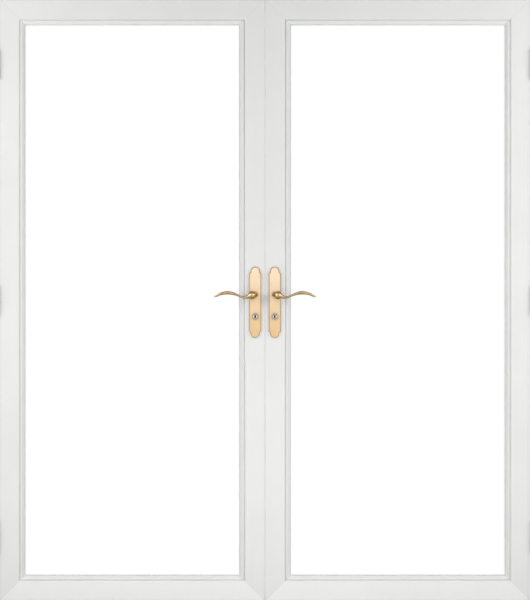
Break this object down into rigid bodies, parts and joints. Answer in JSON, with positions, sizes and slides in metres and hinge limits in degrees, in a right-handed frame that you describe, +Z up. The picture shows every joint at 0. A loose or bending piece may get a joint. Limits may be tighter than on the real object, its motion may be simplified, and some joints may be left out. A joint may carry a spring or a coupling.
{
  "type": "french doors",
  "caption": "Full-view glazed french doors in a white frame, with waved brass levers on long plates that throw bolts into the head and the sill.",
  "frame": {"origin": "under the middle of the sill, on its underside, at the meeting line of the leaves and half way through the frame's depth", "axes": "+Z up, +Y indoors, +X to the right as seen from outside"},
  "size_m": [1.87, 0.1697, 2.1],
  "materials": {
    "frame_coat": "white powder coat, satin",
    "leaf_coat": "white powder coat, satin",
    "bead_coat": "white powder coat, satin",
    "sill_metal": "mill anodised, satin",
    "cleat_metal": "as extruded",
    "spacer_metal": "satin",
    "hinge_coat": "white powder coat, satin",
    "lock_steel": "zinc plated",
    "glass": "clear, polished",
    "gasket_rubber": "matt pale grey",
    "seal_rubber": "matt white",
    "sweep_rubber": "matt grey",
    "plate_brass": "satin, lacquered",
    "screw_brass": "satin, lacquered",
    "lever_brass": "antique, darkened in the hollows",
    "turn_brass": "antique, darkened in the hollows",
    "cylinder_chrome": "polished",
    "plug_chrome": "satin"
  },
  "bodies": {
    "frame": {"left_jamb": "frame_coat", "right_jamb": "frame_coat", "head_jamb": "frame_coat", "sill": "sill_metal", "door_stops": "frame_coat", "stop_seals": "seal_rubber", "frame_hinge_leaves": "hinge_coat", "bolt_keepers": "lock_steel"},
    "left_leaf": {"left_hinge_stile": "leaf_coat", "left_meeting_stile": "leaf_coat", "left_top_rail": "leaf_coat", "left_bottom_rail": "leaf_coat", "left_corner_cleats": "cleat_metal", "left_outer_pane": "glass", "left_inner_pane": "glass", "left_pane_spacer": "spacer_metal", "left_glazing_gaskets": "gasket_rubber", "left_glazing_beads": "bead_coat", "left_edge_seal": "seal_rubber", "left_bottom_sweep": "sweep_rubber", "left_hinge_leaves": "hinge_coat", "left_outside_plate": "plate_brass", "left_inside_plate": "plate_brass", "left_plate_screws": "screw_brass", "left_lock_case": "lock_steel", "left_cylinder_body": "cylinder_chrome"},
    "left_lever": {"left_outside_lever": "lever_brass", "left_inside_lever": "lever_brass", "left_spindle": "lock_steel", "left_drive_pinion": "lock_steel"},
    "left_upper_rod": {"left_upper_rod": "lock_steel"},
    "left_lower_rod": {"left_lower_rod": "lock_steel"},
    "left_key": {"left_cylinder_plug": "plug_chrome", "left_thumbturn": "turn_brass"},
    "right_leaf": {"right_hinge_stile": "leaf_coat", "right_meeting_stile": "leaf_coat", "right_top_rail": "leaf_coat", "right_bottom_rail": "leaf_coat", "right_corner_cleats": "cleat_metal", "right_outer_pane": "glass", "right_inner_pane": "glass", "right_pane_spacer": "spacer_metal", "right_glazing_gaskets": "gasket_rubber", "right_glazing_beads": "bead_coat", "right_edge_seal": "seal_rubber", "right_bottom_sweep": "sweep_rubber", "right_hinge_leaves": "hinge_coat", "right_outside_plate": "plate_brass", "right_inside_plate": "plate_brass", "right_plate_screws": "screw_brass", "right_lock_case": "lock_steel", "right_cylinder_body": "cylinder_chrome"},
    "right_lever": {"right_outside_lever": "lever_brass", "right_inside_lever": "lever_brass", "right_spindle": "lock_steel", "right_drive_pinion": "lock_steel"},
    "right_upper_rod": {"right_upper_rod": "lock_steel"},
    "right_lower_rod": {"right_lower_rod": "lock_steel"},
    "right_key": {"right_cylinder_plug": "plug_chrome", "right_thumbturn": "turn_brass"}
  },
  "joints": [
    {"name": "left_leaf_swing", "type": "hinge", "parent": "frame", "child": "left_leaf", "pos_m": [-0.9035, -0.064, 1.046], "axis": [0, 0, -1], "range_deg": [0, 165]},
    {"name": "left_lever_lift", "type": "hinge", "parent": "left_leaf", "child": "left_lever", "pos_m": [-0.033, -0.035, 1.064], "axis": [0, 1, 0], "range_deg": [0, 55]},
    {"name": "left_upper_rod_slide", "type": "slide", "parent": "left_leaf", "child": "left_upper_rod", "axis": [0, 0, 1], "range_m": [0, 0.0154]},
    {"name": "left_lower_rod_slide", "type": "slide", "parent": "left_leaf", "child": "left_lower_rod", "axis": [0, 0, -1], "range_m": [0, 0.0154]},
    {"name": "left_key_turn", "type": "hinge", "parent": "left_leaf", "child": "left_key", "pos_m": [-0.033, -0.035, 0.99], "axis": [0, 1, 0], "range_deg": [0, 90]},
    {"name": "right_leaf_swing", "type": "hinge", "parent": "frame", "child": "right_leaf", "pos_m": [0.9035, -0.064, 1.046], "axis": [0, 0, 1], "range_deg": [0, 165]},
    {"name": "right_lever_lift", "type": "hinge", "parent": "right_leaf", "child": "right_lever", "pos_m": [0.033, -0.035, 1.064], "axis": [0, -1, 0], "range_deg": [0, 55]},
    {"name": "right_upper_rod_slide", "type": "slide", "parent": "right_leaf", "child": "right_upper_rod", "axis": [0, 0, 1], "range_m": [0, 0.0154]},
    {"name": "right_lower_rod_slide", "type": "slide", "parent": "right_leaf", "child": "right_lower_rod", "axis": [0, 0, -1], "range_m": [0, 0.0154]},
    {"name": "right_key_turn", "type": "hinge", "parent": "right_leaf", "child": "right_key", "pos_m": [0.033, -0.035, 0.99], "axis": [0, -1, 0], "range_deg": [0, 90]}
  ],
  "couplings": [
    {"joint": "left_upper_rod_slide", "follows": "left_lever_lift", "m_per_rad": 0.016},
    {"joint": "left_lower_rod_slide", "follows": "left_lever_lift", "m_per_rad": 0.016},
    {"joint": "right_upper_rod_slide", "follows": "right_lever_lift", "m_per_rad": 0.016},
    {"joint": "right_lower_rod_slide", "follows": "right_lever_lift", "m_per_rad": 0.016}
  ]
}
